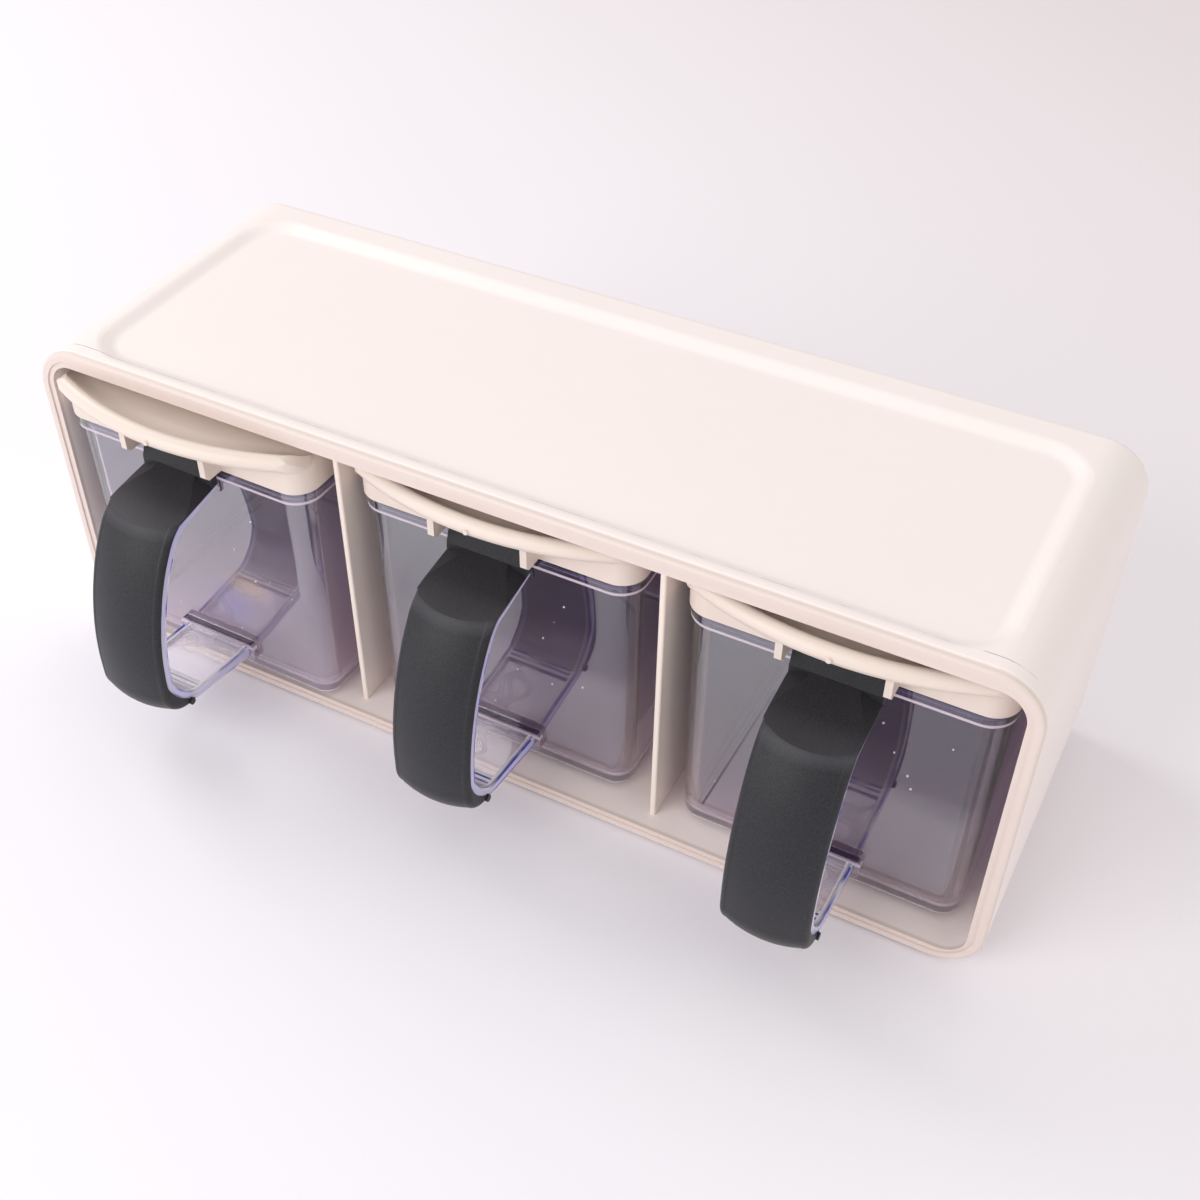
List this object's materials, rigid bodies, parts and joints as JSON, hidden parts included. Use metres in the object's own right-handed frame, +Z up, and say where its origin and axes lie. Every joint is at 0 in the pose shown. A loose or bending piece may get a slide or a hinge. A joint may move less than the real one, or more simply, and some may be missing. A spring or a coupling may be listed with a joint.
{
  "type": "spice box set",
  "caption": "Open-fronted case with a tray top and upright dividers that holds lidded clear containers, each with a looped pull handle and a rear-hinged lid.",
  "frame": {"origin": "centre of the case's footprint, on the surface that it stands on", "axes": "+Z up, -Y out of the open front, +X to the right seen from the front"},
  "size_m": [0.3, 0.1443, 0.1085],
  "materials": {
    "shell_white": "satin",
    "lid_cream": "satin",
    "smoke_clear": "clear smoky plastic",
    "soft_black": "matt soft touch",
    "pin_steel": "brushed",
    "pad_grey": "matt"
  },
  "bodies": {
    "case": {"case_shell": "shell_white", "bezel_top": "shell_white", "bezel_bottom": "shell_white", "bezel_left_end": "shell_white", "bezel_right_end": "shell_white", "left_divider": "shell_white", "right_divider": "shell_white", "foot_front_left": "pad_grey", "foot_front_right": "pad_grey", "foot_back_left": "pad_grey", "foot_back_right": "pad_grey", "foot_middle": "pad_grey"},
    "left_jar_body": {"left_jar": "smoke_clear", "left_handle_frame": "smoke_clear", "left_grip": "soft_black", "left_hinge_pin": "pin_steel"},
    "left_lid_body": {"left_lid": "lid_cream"},
    "middle_jar_body": {"middle_jar": "smoke_clear", "middle_handle_frame": "smoke_clear", "middle_grip": "soft_black", "middle_hinge_pin": "pin_steel"},
    "middle_lid_body": {"middle_lid": "lid_cream"},
    "right_jar_body": {"right_jar": "smoke_clear", "right_handle_frame": "smoke_clear", "right_grip": "soft_black", "right_hinge_pin": "pin_steel"},
    "right_lid_body": {"right_lid": "lid_cream"}
  },
  "joints": [
    {"name": "left_jar_slide", "type": "slide", "parent": "case", "child": "left_jar_body", "axis": [0, -1, 0], "range_m": [0, 0.7]},
    {"name": "left_lid_hinge", "type": "hinge", "parent": "left_jar_body", "child": "left_lid_body", "pos_m": [-0.09787, 0.03639, 0.086], "axis": [-0.9999, 0.0157, 0], "range_deg": [0, 75]},
    {"name": "middle_jar_slide", "type": "slide", "parent": "case", "child": "middle_jar_body", "axis": [0, -1, 0], "range_m": [0, 0.7]},
    {"name": "middle_lid_hinge", "type": "hinge", "parent": "middle_jar_body", "child": "middle_lid_body", "pos_m": [-0.00185, 0.0452, 0.086], "axis": [-1, 0, 0], "range_deg": [0, 75]},
    {"name": "right_jar_slide", "type": "slide", "parent": "case", "child": "right_jar_body", "axis": [0, -1, 0], "range_m": [0, 0.7]},
    {"name": "right_lid_hinge", "type": "hinge", "parent": "right_jar_body", "child": "right_lid_body", "pos_m": [0.09835, 0.0452, 0.086], "axis": [-1, 0, 0], "range_deg": [0, 75]}
  ],
  "couplings": [
    {"joint": "left_lid_hinge", "follows": "left_jar_slide", "rad_per_m": 1.869},
    {"joint": "middle_lid_hinge", "follows": "middle_jar_slide", "rad_per_m": 1.869},
    {"joint": "right_lid_hinge", "follows": "right_jar_slide", "rad_per_m": 1.869}
  ]
}
